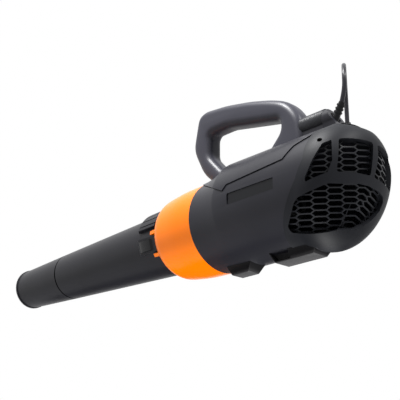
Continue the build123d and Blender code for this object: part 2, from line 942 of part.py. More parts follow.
with BuildPart() as armature_core:
    with BuildSketch(station(core_front)):
        Circle(armature_radius)
        with PolarLocations(armature_radius, slot_count):
            Rectangle(*armature_slot, mode=Mode.SUBTRACT)
        Circle(shaft_radius, mode=Mode.SUBTRACT)
    extrude(amount=core_length)
save(armature_core.part, "armature_core")

with BuildPart() as armature_winding:
    for start in (core_front - winding_end, core_front + core_length):
        with BuildSketch(station(start)):
            Circle(winding_radius)
            Circle(shaft_radius, mode=Mode.SUBTRACT)
        extrude(amount=winding_end)
save(armature_winding.part, "armature_winding")

with BuildPart() as commutator:
    with BuildSketch(station(core_front + core_length + winding_end)):
        Circle(commutator_radius)
        with PolarLocations(commutator_radius, slot_count):
            Rectangle(2 * bar_gap, bar_gap, mode=Mode.SUBTRACT)
        Circle(shaft_radius, mode=Mode.SUBTRACT)
    extrude(amount=commutator_length)
save(commutator.part, "commutator")

# Carbon brushes, left and right of the commutator, in holders on the rear bracket
brush_size = (9.0, 6.0)
brush_length = 15.0
brush_at = commutator_front + commutator_length / 2
holder_wall = 2.0
holder_start = 16.0
holder_end = 38.0
spring_radius = 2.4
brush_inner = commutator_radius + running_fit
bracket_face = rear_bearing_at - bracket_wall

with BuildPart() as brushes:
    for across in (1, -1):
        with BuildSketch(side.offset(across * brush_inner)):
            with Locations((brush_at, 0)):
                Rectangle(*brush_size)
        extrude(amount=across * brush_length)
save(brushes.part, "brushes")

with BuildPart() as brush_holders:
    for across in (1, -1):
        with BuildSketch(side.offset(across * holder_start)):
            with Locations(((brush_at - brush_size[0] / 2 - holder_wall + bracket_face) / 2, 0)):
                Rectangle(
                    bracket_face - brush_at + brush_size[0] / 2 + holder_wall, brush_size[1] + 2 * holder_wall
                )
        extrude(amount=across * (holder_end - holder_start))
        with BuildSketch(side.offset(across * holder_start)):
            with Locations((brush_at, 0)):
                Rectangle(brush_size[0] + 2 * running_fit, brush_size[1] + 2 * running_fit)
        extrude(amount=across * (holder_end - holder_start - holder_wall), mode=Mode.SUBTRACT)
save(brush_holders.part, "brush_holders")

with BuildPart() as brush_springs:
    for across in (1, -1):
        with BuildSketch(side.offset(across * (brush_inner + brush_length))):
            with Locations((brush_at, 0)):
                Circle(spring_radius)
                Circle(spring_radius / 2, mode=Mode.SUBTRACT)
        extrude(amount=across * (holder_end - holder_wall - brush_inner - brush_length))
save(brush_springs.part, "brush_springs")

# Feet under the body, cut to its round underside
front_foot_at = 28.0
rear_foot_at = 116.0
foot_top = -55.0
foot_round = 6.0
cavity_front = 119.0
cavity_length = 33.0
cavity_low = -85.0
cavity_high = -79.0
cavity_depth = 12.0

for name, start, length, half_width in (
    ("front_foot", front_foot_at, front_foot_length, front_foot_half_width),
    ("rear_foot", rear_foot_at, rear_foot_length, rear_foot_half_width),
):
    with BuildPart() as foot:
        with BuildSketch(Plane(origin=(datum + start + length / 2, 0, 0))):
            RectangleRounded(length, 2 * half_width, foot_round)
        extrude(amount=axis_height + foot_top)
        add(outer_form, mode=Mode.SUBTRACT)
        if name == "rear_foot":
            for across in (1, -1):
                with BuildSketch(side.offset(across * (half_width - cavity_depth))):
                    with BuildLine():
                        Polyline(
                            (cavity_front, cavity_low),
                            (cavity_front + cavity_length, cavity_low),
                            (cavity_front + cavity_length - 8, cavity_high),
                            (cavity_front, cavity_high),
                            close=True,
                        )
                    make_face()
                extrude(amount=across * past_body, mode=Mode.SUBTRACT)
    save(foot.part, name)

# Cord entry: a ringed barrel on the saddle, and the bend guard that comes out of the cord ring
barrel_bore = 6.0
barrel_rear_radius = 15.0
ring_count = 5
ring_depth = 0.8
barrel_lead = 6.0
guard_root = 8.0
guard_start = (234.0, 107.0)
guard_tip = (250.5, 134.0)
guard_run = Vector(guard_tip[0] - guard_start[0], 0, guard_tip[1] - guard_start[1])
cord_overlap = 5.0
guard_plane = Plane(
    origin=(datum + guard_start[0], 0, axis_height + guard_start[1]), x_dir=(0, 1, 0), z_dir=guard_run
)
guard_ring_count = 3
guard_ring_rise = 0.7
ring_step = (barrel_rear - barrel_front - barrel_lead) / ring_count
barrel_profile = [(barrel_front, barrel_bore), (barrel_front, barrel_radius)]
for number in range(ring_count):
    ring_at = barrel_front + barrel_lead + number * ring_step
    ring_radius = barrel_radius + (barrel_rear_radius - barrel_radius) * number / ring_count
    barrel_profile += [
        (ring_at, ring_radius),
        (ring_at + ring_step / 3, ring_radius - ring_depth),
        (ring_at + ring_step / 2, ring_radius),
    ]
barrel_profile += [(barrel_rear, barrel_rear_radius), (barrel_rear, barrel_bore)]

with BuildPart() as cord_barrel:
    add(turned(barrel_profile, barrel_axis, barrel_height))
save(cord_barrel.part, "cord_barrel")

with BuildPart() as cord_guard:
    with BuildSketch(guard_plane):
        Circle(guard_base_radius)
    with BuildSketch(guard_plane.offset(guard_run.length)):
        Circle(guard_tip_radius)
    loft()
    for number in range(guard_ring_count):
        ring_at = guard_run.length * (0.45 + 0.17 * number)
        with BuildSketch(guard_plane.offset(ring_at)):
            Circle(guard_base_radius + guard_ring_rise - number * (guard_base_radius - guard_tip_radius) / 8)
        extrude(amount=guard_run.length * 0.08)
    with BuildSketch(station(barrel_rear, collar_height)):
        Circle(collar_bore - running_fit)
    extrude(amount=guard_root)
save(cord_guard.part, "cord_guard")

# Cord: a short lead that rises from the guard, turns over in a round loop and hangs down to its plug
loop_radius = 45.0
loop_top = 210.0
loop_across = (-0.598, 0.801)
loop_rise = (257.0, 0.0)
lead_bend = (256.5, 0, 151)
plug_drop = 45.0
loop_step = 2 * loop_radius * tan(radians(22.5))
loop_slant = loop_step / sqrt(2)
loop_low = loop_top - loop_slant
loop_stations = [
    (0, loop_low),
    (loop_slant, loop_top),
    (loop_slant + loop_step, loop_top),
    (2 * loop_slant + loop_step, loop_low),
    (2 * loop_slant + loop_step, loop_low - plug_drop),
]
cord_start = guard_run.normalized() * (guard_run.length - cord_overlap)
cord_route = [(guard_start[0] + cord_start.X, 0, guard_start[1] + cord_start.Z), lead_bend]
cord_route += [
    (loop_rise[0] + along * loop_across[0], loop_rise[1] + along * loop_across[1], height)
    for along, height in loop_stations
]
cord_points = [Vector(datum + s, y, axis_height + z) for s, y, z in cord_route]
cord_runs = [end - start for start, end in zip(cord_points, cord_points[1:])]
cord_turns = [a.get_angle(b) for a, b in zip(cord_runs, cord_runs[1:])]
bend_share = 0.45
cord_radii = [
    bend_share * min(a.length, b.length) / tan(radians(turn) / 2)
    for a, b, turn in zip(cord_runs, cord_runs[1:], cord_turns)
]
print("cord bend radii", [round(radius, 1) for radius in cord_radii])

with BuildPart() as cord:
    with BuildLine() as lead:
        FilletPolyline(*cord_points, radius=cord_radii)
    with BuildSketch(Plane(origin=cord_points[0], z_dir=cord_runs[0])):
        Circle(cord_radius)
    sweep(path=lead.line)
save(cord.part, "cord")
cord_length = sum(edge.length for edge in lead.edges())
print("cord length", round(cord_length, 1))
print("cord volume ratio", round(cord.part.volume / (cord_length * pi * cord_radius ** 2), 4))

# Two-blade plug at the end of the cord
plug_length = 32.0
plug_half_width = 12.5
plug_half_depth = 8.5
plug_neck = 12.0
plug_neck_radius = 5.5
plug_round = 4.0
blade_spacing = 12.7
blade_width = 6.35
blade_gauge = 1.5
blade_length = 17.0
plug_plane = Plane(origin=cord_points[-1], x_dir=(1, 0, 0), z_dir=cord_runs[-1])

with BuildPart() as cord_plug:
    with BuildSketch(plug_plane):
        Circle(plug_neck_radius)
    extrude(amount=plug_neck)
    with BuildSketch(plug_plane.offset(plug_neck)):
        RectangleRounded(2 * plug_half_width, 2 * plug_half_depth, plug_round)
    extrude(amount=plug_length - plug_neck)
save(cord_plug.part, "cord_plug")

with BuildPart() as plug_blades:
    with BuildSketch(plug_plane.offset(plug_length)):
        with Locations((blade_spacing / 2, 0), (-blade_spacing / 2, 0)):
            Rectangle(blade_gauge, blade_width)
    extrude(amount=blade_length)
save(plug_blades.part, "plug_blades")
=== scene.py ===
"""A corded leaf blower, dressed on its CAD frame: moulded black shells and handle, a honeycomb intake at
the back, a gloss orange duct ring, a long tapered tube with its nozzle, and a short lead with a plug."""
import json
from math import cos, pi, radians, sin

import bpy
from mathutils import Matrix, Vector


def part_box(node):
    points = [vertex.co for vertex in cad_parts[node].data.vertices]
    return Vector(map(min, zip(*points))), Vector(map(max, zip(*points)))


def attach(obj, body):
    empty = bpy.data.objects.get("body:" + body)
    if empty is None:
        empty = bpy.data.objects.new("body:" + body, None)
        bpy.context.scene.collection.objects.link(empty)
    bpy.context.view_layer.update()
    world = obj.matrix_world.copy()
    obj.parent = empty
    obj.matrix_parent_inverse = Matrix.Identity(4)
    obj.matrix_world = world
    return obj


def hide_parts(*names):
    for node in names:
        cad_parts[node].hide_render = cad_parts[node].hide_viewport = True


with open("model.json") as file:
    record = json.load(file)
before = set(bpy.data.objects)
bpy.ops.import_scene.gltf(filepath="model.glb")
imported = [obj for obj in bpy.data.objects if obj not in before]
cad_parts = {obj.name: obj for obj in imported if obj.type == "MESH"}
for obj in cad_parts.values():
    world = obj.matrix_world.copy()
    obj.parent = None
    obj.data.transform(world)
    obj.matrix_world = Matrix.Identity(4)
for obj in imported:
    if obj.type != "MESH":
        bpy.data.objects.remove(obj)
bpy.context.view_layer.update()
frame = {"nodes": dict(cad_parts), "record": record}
scene = bpy.context.scene
scene.view_settings.view_transform = "Standard"

# The camera stands at the left rear of the blower and below it, so that the underside and the
# grille both show. The lens is a short tele.
azimuth = radians(47.29)
elevation = radians(-19.97)
roll = radians(0.28)
camera_distance = 1.5
middle_of_picture = Vector((0.0710, 0, 0.1499))
back = Vector((sin(azimuth) * cos(elevation), -cos(azimuth) * cos(elevation), sin(elevation)))
across = Vector((cos(azimuth), sin(azimuth), 0))
upward = back.cross(across)
right = across * cos(roll) + upward * sin(roll)
top = upward * cos(roll) - across * sin(roll)
bpy.ops.object.camera_add(location=middle_of_picture + back * camera_distance)
camera = bpy.context.object
camera.rotation_euler = Matrix((right, top, back)).transposed().to_euler()
camera.data.lens = 80.69
camera.data.sensor_width = 36
scene.camera = camera

# The studio is a white room with a pale floor that the feet stand on. The camera looks through the floor
# from below, and the floor gives back less light than it shows. Two soft lamps hang above the left flank
# and behind, and two shine up from under the floor.


def linear(hex_colour):
    """The linear colour of an sRGB hex value."""
    parts = [int(hex_colour[i:i + 2], 16) / 255 for i in (1, 3, 5)]
    return [c / 12.92 if c <= 0.04045 else ((c + 0.055) / 1.055) ** 2.4 for c in parts] + [1.0]


def add_node(tree, kind, inputs=None, **settings):
    """A shader node with its settings, each input given a value or linked to a socket."""
    made = tree.nodes.new(kind)
    for name, value in settings.items():
        setattr(made, name, value)
    for name, value in (inputs or {}).items():
        if isinstance(value, bpy.types.NodeSocket):
            tree.links.new(value, made.inputs[name])
        else:
            made.inputs[name].default_value = value
    return made


# Matt white paper: an even pale ground with a soft shadow, which fades out before the floor's edge.
# Rays that start right at the floor pass through it, so that the soles on it don't turn black.
contact_reach = 0.006
fade_start = 0.5
fade_end = 1.0
bpy.ops.mesh.primitive_plane_add(size=8)
floor = bpy.context.object
floor.name = "floor"
paper = bpy.data.materials.new("matt_white_paper")
paper.use_nodes = True
tree = paper.node_tree
tree.nodes.clear()
path = add_node(tree, "ShaderNodeLightPath")
sheet_side = add_node(tree, "ShaderNodeNewGeometry")
from_below = add_node(
    tree, "ShaderNodeMath", {0: path.outputs["Is Camera Ray"], 1: sheet_side.outputs["Backfacing"]},
    operation="MULTIPLY",
)
through = add_node(
    tree, "ShaderNodeMath", {0: path.outputs["Is Shadow Ray"], 1: from_below.outputs[0]},
    operation="MAXIMUM",
)
touching = add_node(
    tree, "ShaderNodeMath", {0: path.outputs["Ray Length"], 1: contact_reach}, operation="LESS_THAN"
)
passing = add_node(
    tree, "ShaderNodeMath", {0: through.outputs[0], 1: touching.outputs[0]}, operation="MAXIMUM"
)
place = add_node(tree, "ShaderNodeTexCoord")
away = add_node(tree, "ShaderNodeVectorMath", {0: place.outputs["Object"]}, operation="LENGTH")
fading = add_node(
    tree, "ShaderNodeMapRange",
    {"Value": away.outputs["Value"], "From Min": fade_start, "From Max": fade_end},
)
passing = add_node(
    tree, "ShaderNodeMath", {0: passing.outputs[0], 1: fading.outputs[0]}, operation="MAXIMUM"
)
tint = add_node(
    tree, "ShaderNodeMix", {0: path.outputs["Is Camera Ray"], 6: linear("#949494"), 7: linear("#F1F1F1")},
    data_type="RGBA",
)
matt = add_node(tree, "ShaderNodeBsdfDiffuse", {"Color": tint.outputs[2]})
clear = add_node(tree, "ShaderNodeBsdfTransparent")
both = add_node(
    tree, "ShaderNodeMixShader", {0: passing.outputs[0], 1: matt.outputs[0], 2: clear.outputs[0]}
)
add_node(tree, "ShaderNodeOutputMaterial", {"Surface": both.outputs[0]})
floor.data.materials.append(paper)

# The surround is white to the camera and in reflections, and lights the blower only dimly.
world = bpy.data.worlds.new("white_surround")
world.use_nodes = True
scene.world = world
tree = world.node_tree
tree.nodes.clear()
path = add_node(tree, "ShaderNodeLightPath")
seen = add_node(
    tree, "ShaderNodeMath", {0: path.outputs["Is Camera Ray"], 1: path.outputs["Is Glossy Ray"]},
    operation="MAXIMUM",
)
seen = add_node(
    tree, "ShaderNodeMath", {0: seen.outputs[0], 1: path.outputs["Is Transmission Ray"]},
    operation="MAXIMUM",
)
dim = add_node(tree, "ShaderNodeBackground", {"Color": linear("#FFFFFF"), "Strength": 0.2})
white = add_node(tree, "ShaderNodeBackground", {"Color": linear("#FFFFFF"), "Strength": 1.0})
both = add_node(
    tree, "ShaderNodeMixShader", {0: seen.outputs[0], 1: dim.outputs[0], 2: white.outputs[0]}
)
add_node(tree, "ShaderNodeOutputWorld", {"Surface": both.outputs[0]})

# Each lamp has its place, its width and its power.
lamps_point_at = Vector((0.1, 0, 0.12))
lamps = (
    ((-0.1, -0.8, 1.9), 0.5, 88),
    ((1.7, 0.1, 1.7), 0.5, 44),
    ((0.5, -0.7, -1.6), 1.0, 9),
    ((0.0, 0.6, -1.6), 0.8, 40),
)
for place, size, power in lamps:
    bpy.ops.object.light_add(type="AREA", location=place)
    lamp = bpy.context.object
    lamp.data.size = size
    lamp.data.energy = power
    lamp.rotation_euler = (lamps_point_at - Vector(place)).to_track_quat("-Z", "Y").to_euler()

# Motor body: lower and upper shells of black glass-filled polypropylene, injection moulded and screwed
# together along the middle. The upper pair lies over the lower one, with a small step at its edge.
# Stations count from the front of the lower shells, and heights from the fan's axis, which runs through
# the outlet bore.
outlet = next(mount for mount in frame["record"]["mounts"] if mount["name"] == "outlet_bore")
body_front = round(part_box("housing_right")[0][0], 6)
axis_height = outlet["pos_m"][2]
body_radius = 0.083
body_lift = 0.007
neck_radius = 0.077
neck_lift = 0.0015
shoulder_start = 0.028
shoulder_length = 0.034
skin_step = 0.0016
skin_above = 0.0025
skin_below = 0.006


def pick(piece):
    """Make a piece the active one, and the only one that is selected."""
    bpy.ops.object.select_all(action="DESELECT")
    bpy.context.view_layer.objects.active = piece
    piece.select_set(True)


def moulding(node, body, finish, smooth_below=30):
    """A merged, smooth-shaded copy of a CAD piece, which rides on its body in the piece's place."""
    piece = frame["nodes"][node].copy()
    piece.data = piece.data.copy()
    piece.parent = None
    for key in list(piece.keys()):
        del piece[key]
    piece.name = node + "_moulding"
    scene.collection.objects.link(piece)
    pick(piece)
    bpy.ops.mesh.customdata_custom_splitnormals_clear()
    bpy.ops.object.mode_set(mode="EDIT")
    bpy.ops.mesh.select_all(action="SELECT")
    bpy.ops.mesh.remove_doubles(threshold=0.00001)
    bpy.ops.object.mode_set(mode="OBJECT")
    bpy.ops.object.shade_smooth_by_angle(angle=radians(smooth_below))
    piece.data.materials.clear()
    piece.data.materials.append(finish)
    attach(piece, body)
    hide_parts(node)
    return piece


def grained(name, dark, light, grain_mm, roughness, bump):
    """A surface whose colour drifts between two tones, and whose gloss and relief follow a fine grain."""
    gloss_spread = 0.06
    relief_depth = 0.0002
    cloud_mm = 40 * grain_mm
    material = bpy.data.materials.new(name)
    material.use_nodes = True
    tree = material.node_tree
    surface = tree.nodes["Principled BSDF"]
    surface.inputs["Specular IOR Level"].default_value = 0.2
    place = add_node(tree, "ShaderNodeTexCoord")
    grain = add_node(
        tree, "ShaderNodeTexNoise",
        {"Vector": place.outputs["Object"], "Scale": 1000 / grain_mm, "Detail": 3.0, "Roughness": 0.6},
    )
    cloud = add_node(
        tree, "ShaderNodeTexNoise",
        {"Vector": place.outputs["Object"], "Scale": 1000 / cloud_mm, "Detail": 2.0},
    )
    tone = add_node(
        tree, "ShaderNodeMix", {0: cloud.outputs["Fac"], 6: linear(dark), 7: linear(light)}, data_type="RGBA"
    )
    gloss = add_node(
        tree, "ShaderNodeMapRange",
        {
            "Value": grain.outputs["Fac"],
            "To Min": roughness - gloss_spread,
            "To Max": roughness + gloss_spread,
        },
    )
    relief = add_node(
        tree, "ShaderNodeBump", {"Height": grain.outputs["Fac"], "Strength": bump, "Distance": relief_depth}
    )
    tree.links.new(tone.outputs[2], surface.inputs["Base Color"])
    tree.links.new(gloss.outputs[0], surface.inputs["Roughness"])
    tree.links.new(relief.outputs[0], surface.inputs["Normal"])
    return material


def raise_skin(shell, step):
    """Lift a shell's outer skin off the round of the body, so that its edge shows as a step."""
    lifted = []
    for vertex in shell.data.vertices:
        blend = min(1, max(0, (vertex.co.x - body_front - shoulder_start) / shoulder_length))
        middle = Vector((vertex.co.x, 0, axis_height + neck_lift + (body_lift - neck_lift) * blend))
        away = vertex.co - middle
        over = away.length - (neck_radius + (body_radius - neck_radius) * blend)
        if -skin_below < over < skin_above and vertex.normal.dot(away.normalized()) > 0.3:
            lifted.append((vertex, vertex.co + away.normalized() * step))
    for vertex, place in lifted:
        vertex.co = place


# Grained polypropylene is a satin charcoal with broad, soft highlights. Its real grain of about 0.1 mm is
# too fine to show, so here and on the other plastics it is drawn at about 1 mm.
charcoal = grained("charcoal_grained_polypropylene", "#1C1C22", "#232329", 1.2, 0.36, 0.25)
moulding("housing_right", "blower_body", charcoal)
upper_shells = [
    moulding(node, "blower_body", charcoal) for node in ("handle_left", "handle_right")
]
for shell in upper_shells:
    raise_skin(shell, skin_step)

# Left shell: the same moulding with a plain plate let into its flank, of a darker, polished plastic.
# The plate is bare, and shows as a smooth black oblong in the grained flank.
plate_middle = (body_front + 0.1385, -0.08, axis_height + 0.00375)
plate_reaches = {"X": 0.0462, "Y": 0.03, "Z": 0.0085}
plate_roughness = 0.3
flank = grained("charcoal_polypropylene_with_plate", "#1C1C22", "#232329", 1.2, 0.36, 0.25)
tree = flank.node_tree
surface = tree.nodes["Principled BSDF"]
place = add_node(tree, "ShaderNodeTexCoord")
shifted = add_node(
    tree, "ShaderNodeVectorMath", {0: place.outputs["Object"], 1: plate_middle}, operation="SUBTRACT"
)
spread = add_node(tree, "ShaderNodeVectorMath", {0: shifted.outputs[0]}, operation="ABSOLUTE")
sides = add_node(tree, "ShaderNodeSeparateXYZ", {0: spread.outputs[0]})
along, outside, upright = [
    add_node(tree, "ShaderNodeMath", {0: sides.outputs[axis], 1: reach}, operation="LESS_THAN")
    for axis, reach in plate_reaches.items()
]
plate = add_node(
    tree, "ShaderNodeMath", {0: along.outputs[0], 1: upright.outputs[0]}, operation="MULTIPLY"
)
plate = add_node(
    tree, "ShaderNodeMath", {0: plate.outputs[0], 1: outside.outputs[0]}, operation="MULTIPLY"
)
shell_tone = surface.inputs["Base Color"].links[0].from_socket
shell_gloss = surface.inputs["Roughness"].links[0].from_socket
tone = add_node(
    tree, "ShaderNodeMix", {0: plate.outputs[0], 6: shell_tone, 7: linear("#0B0C10")}, data_type="RGBA"
)
gloss = add_node(
    tree, "ShaderNodeMix", {0: plate.outputs[0], 2: shell_gloss, 3: plate_roughness}, data_type="FLOAT"
)
tree.links.new(tone.outputs[2], surface.inputs["Base Color"])
tree.links.new(gloss.outputs[0], surface.inputs["Roughness"])
moulding("housing_left", "blower_body", flank)

# Carrying handle: the closed bow that stands on the upper shells, of the same polypropylene and moulded in
# one with them, with a square front shoulder and edges rounded for the hand. It takes the place of the
# plainer grip on the copies of the shells. Outlines are in stations and heights, in mm.
bow_half_width = 0.0176
bow_edge = 0.0125
bow_corner = 12
opening_corner = 9
bow_outline = [
    (4, 64), (-34, 98), (-55, 139), (-57, 154), (-46, 204), (-29, 212.5), (22, 206.5), (75, 195),
    (117, 182.5), (146, 171), (164, 157), (180, 134), (186, 100), (186, 64),
]
hand_opening = [
    (14.5, 92), (-17.3, 126.5), (-17.3, 165.8), (22, 165.8), (139.3, 139.9), (139.3, 119.4), (111.6, 92),
]
grip_rear = 0.178
front_post_rear = 0.04
front_post_foot = 0.083
hand_gap_floor = 0.0935


def rounded(corners, radius, steps=5):
    """The points of an outline in stations and heights, each corner drawn round by a radius."""
    points = []
    for before, corner, after in zip(corners[-1:] + corners[:-1], corners, corners[1:] + corners[:1]):
        middle = Vector(corner)
        reach_in = Vector(before) - middle
        reach_out = Vector(after) - middle
        start = middle + reach_in.normalized() * min(radius, 0.45 * reach_in.length)
        end = middle + reach_out.normalized() * min(radius, 0.45 * reach_out.length)
        for step in range(steps + 1):
            part = step / steps
            points.append(start.lerp(middle, part).lerp(middle.lerp(end, part), part))
    return points


def add_slab(outlines, half_width, edge):
    """A slab on the body's middle plane with round edges, from an outline and its holes."""
    drawing = bpy.data.curves.new("slab", "CURVE")
    drawing.dimensions = "2D"
    drawing.fill_mode = "BOTH"
    for points in outlines:
        line = drawing.splines.new("POLY")
        line.points.add(len(points) - 1)
        for point, (station, height) in zip(line.points, points):
            point.co = (body_front + station / 1000, axis_height + height / 1000, 0, 1)
        line.use_cyclic_u = True
    drawing.offset = -edge
    drawing.bevel_depth = edge
    drawing.bevel_resolution = 4
    drawing.extrude = half_width - edge
    slab = bpy.data.objects.new("slab", drawing)
    scene.collection.objects.link(slab)
    pick(slab)
    slab.rotation_euler = (radians(90), 0, 0)
    bpy.ops.object.convert(target="MESH")
    bpy.ops.object.transform_apply(location=True, rotation=True, scale=True)
    bpy.ops.object.mode_set(mode="EDIT")
    bpy.ops.mesh.select_all(action="SELECT")
    bpy.ops.mesh.remove_doubles(threshold=0.00001)
    bpy.ops.mesh.normals_make_consistent(inside=False)
    bpy.ops.object.mode_set(mode="OBJECT")
    return slab


def round_edges(piece, width, segments, sharper_than):
    """Bevel the edges of the active piece that turn by more than an angle in degrees."""
    bevel = piece.modifiers.new("edge", "BEVEL")
    bevel.width = width
    bevel.segments = segments
    bevel.limit_method = "ANGLE"
    bevel.angle_limit = radians(sharper_than)
    bpy.ops.object.modifier_apply(modifier=bevel.name)


def finish_piece(piece, name, finish, body):
    """Shade a modelled piece, the active one, and give it its name, its finish and its body."""
    piece.name = name
    bpy.ops.object.shade_smooth_by_angle(angle=radians(35))
    piece.data.materials.clear()
    piece.data.materials.append(finish)
    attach(piece, body)


for shell in upper_shells:
    pick(shell)
    bpy.ops.object.mode_set(mode="EDIT")
    bpy.ops.mesh.select_mode(type="FACE")
    bpy.ops.mesh.select_all(action="DESELECT")
    bpy.ops.object.mode_set(mode="OBJECT")
    for face in shell.data.polygons:
        station = face.center.x - body_front
        grip_foot = front_post_foot if station < front_post_rear else hand_gap_floor
        face.select = station < grip_rear and face.center.z - axis_height > grip_foot
    bpy.ops.object.mode_set(mode="EDIT")
    bpy.ops.mesh.delete(type="FACE")
    bpy.ops.object.mode_set(mode="OBJECT")
bow_lines = [rounded(bow_outline, bow_corner), rounded(hand_opening, opening_corner)]
bow = add_slab(bow_lines, bow_half_width, bow_edge)
# The handle is the body's polypropylene, painted a little paler than the shells as painted light because its
# faces stand lit above the body, so the bow stands out from the shells.
grip_painted_lit_grey = grained("charcoal_polypropylene_painted_lighter", "#33333B", "#3B3B43", 1.2, 0.38, 0.25)
finish_piece(bow, "handle_bow", grip_painted_lit_grey, "blower_body")

# Feet: two tapered blocks under the lower shells, moulded with them in polypropylene. The rear one has an
# open pocket in the front of each flank. Stations and half widths are in mm, at the sole and at the root.
foot_sizes = {
    "front_foot": ((31, 66, 12), (20, 82, 20)),
    "rear_foot": ((124, 198, 15), (114, 212, 25)),
}
sole_height = -1000 * axis_height
root_height = -66
foot_edge = 0.0016
pocket_rear = 0.156
pocket_rim = 0.0022
pocket_depth = 0.008


def add_foot(sole, root):
    """A block that narrows from its root in the body to its sole."""
    bpy.ops.object.select_all(action="DESELECT")
    bpy.ops.mesh.primitive_cube_add(size=2)
    block = bpy.context.object
    for vertex in block.data.vertices:
        front, rear, half = root if vertex.co.z > 0 else sole
        vertex.co = (
            body_front + (rear if vertex.co.x > 0 else front) / 1000,
            (half if vertex.co.y > 0 else -half) / 1000,
            axis_height + (root_height if vertex.co.z > 0 else sole_height) / 1000,
        )
    return block


# Foot polypropylene: duller and rougher than the shells, and painted a darker grey-black as painted shade,
# for the feet stand in the shade under the body.
foot_painted_shade_black = grained("foot_polypropylene_painted_shade", "#131215", "#1C1B1D", 2.0, 0.5, 0.35)
for node, (sole, root) in foot_sizes.items():
    foot = add_foot(sole, root)
    if node == "rear_foot":
        bpy.ops.object.mode_set(mode="EDIT")
        bpy.ops.mesh.select_all(action="SELECT")
        bpy.ops.mesh.bisect(plane_co=(body_front + pocket_rear, 0, 0), plane_no=(1, 0, 0))
        bpy.ops.mesh.select_all(action="DESELECT")
        bpy.ops.object.mode_set(mode="OBJECT")
        for face in foot.data.polygons:
            face.select = abs(face.normal.y) > 0.7 and face.center.x < body_front + pocket_rear
        bpy.ops.object.mode_set(mode="EDIT")
        bpy.ops.mesh.select_mode(type="FACE")
        bpy.ops.mesh.inset(thickness=pocket_rim, use_individual=True)
        bpy.ops.mesh.inset(thickness=0, depth=-pocket_depth, use_individual=True)
        bpy.ops.object.mode_set(mode="OBJECT")
    round_edges(foot, foot_edge, 2, 40)
    finish_piece(foot, node + "_block", foot_painted_shade_black, "blower_body")
    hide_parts(node)

# Rear cover: a domed frame of moulded polypropylene with windows for the intake air, which stands a little
# proud of the shells and is held by sunk screws. The ring that the cord leaves by is moulded on its top.
# Outlines are in stations and heights, and those of windows in stations, sides and heights, in mm.
dome_middle = Vector((body_front + 0.229, 0, axis_height + body_lift))
dome_lean = radians(26.6)
dome_fullness = 2.6
dome_depth = 0.060
skirt_length = 0.14
cover_proud = 0.0014
cover_wall = 0.005
ring_foot = 0.086
cutter_half_width = 0.12
cutter_edge = 0.001
punch_reach = 0.05
cover_outline = [
    (240.4, 24), (226.4, -3.2), (180.4, -54.2), (158.4, -82), (150.4, -120), (340, -120), (340, 60),
    (240.4, 90),
]
hollow_outline = [(100, -120), (340, -120), (340, 53), (240.4, 83), (100, 83)]
inner_window = [(284, -56.5, 48), (303, -4.5, 51), (296.5, -4.5, 4), (280, -59.5, -1)]
outer_window = [
    (277, -63, 46), (279, -66, 15), (272, -69, -2), (244, -82, -11), (243, -83, -6), (257, -80, 20),
    (267, -71, 42),
]
lower_side = [
    (288, -20, -10.5), (284, -37, -13), (269, -66, -16), (244, -78, -25), (225, -78, -28), (215, -75, -34),
    (186, -55, -56), (186, -46, -63), (225, -41, -71), (247, -21, -66.5),
]
lower_middle = [
    (288, -24, -10.8), (290, 0, -9.5), (288, 24, -10.8), (284, 37, -13), (279, 43, -19), (273.5, 42, -31),
    (266.6, 30, -46.7), (262, 18, -55.5), (256.5, 3, -63), (247, -24, -66),
]
screw_hole_radius = 0.0036
screw_hole_depth = 0.05


def add_dome(inset):
    """The closed form of the body's rear, drawn in by an inset: half an egg with a round skirt in front."""
    bpy.ops.object.select_all(action="DESELECT")
    bpy.ops.mesh.primitive_uv_sphere_add(
        segments=96, ring_count=48, radius=1, rotation=(0, radians(90), 0)
    )
    dome = bpy.context.object
    bpy.ops.object.transform_apply(location=True, rotation=True, scale=True)
    bpy.ops.object.mode_set(mode="EDIT")
    bpy.ops.mesh.select_all(action="SELECT")
    bpy.ops.mesh.bisect(plane_co=(0, 0, 0), plane_no=(1, 0, 0), clear_inner=True)
    bpy.ops.object.mode_set(mode="OBJECT")
    for vertex in dome.data.vertices:
        out = min(1, (vertex.co.y ** 2 + vertex.co.z ** 2) ** 0.5)
        vertex.co.x = (1 - out ** dome_fullness) ** (1 / dome_fullness)
    half_width = body_radius - inset
    dome.scale = (dome_depth - inset, half_width, half_width / cos(dome_lean))
    dome.rotation_euler = (0, dome_lean, 0)
    dome.location = dome_middle
    bpy.ops.object.transform_apply(location=True, rotation=True, scale=True)
    bpy.ops.object.mode_set(mode="EDIT")
    bpy.ops.mesh.select_all(action="SELECT")
    bpy.ops.mesh.region_to_loop()
    bpy.ops.mesh.extrude_region_move(TRANSFORM_OT_translate={"value": (-skirt_length, 0, 0)})
    bpy.ops.mesh.edge_face_add()
    bpy.ops.mesh.select_all(action="SELECT")
    bpy.ops.mesh.normals_make_consistent(inside=False)
    bpy.ops.object.mode_set(mode="OBJECT")
    return dome


def add_punch(corners, heading, corner_round):
    """A solid punch through a window, from the window's outline on the dome and the punch's heading."""
    bpy.ops.object.select_all(action="DESELECT")
    bpy.ops.mesh.primitive_circle_add(vertices=len(corners), fill_type="NGON")
    punch = bpy.context.object
    travel = Vector(heading).normalized() * punch_reach
    for vertex, (station, side, height) in zip(punch.data.vertices, corners):
        corner = Vector((body_front + station / 1000, side / 1000, axis_height + height / 1000))
        vertex.co = corner - travel
    bpy.ops.object.mode_set(mode="EDIT")
    bpy.ops.mesh.select_all(action="SELECT")
    bpy.ops.mesh.extrude_region_move(TRANSFORM_OT_translate={"value": 2 * travel})
    bpy.ops.mesh.select_all(action="SELECT")
    bpy.ops.mesh.normals_make_consistent(inside=False)
    bpy.ops.object.mode_set(mode="OBJECT")
    round_edges(punch, corner_round, 3, 25)
    return punch


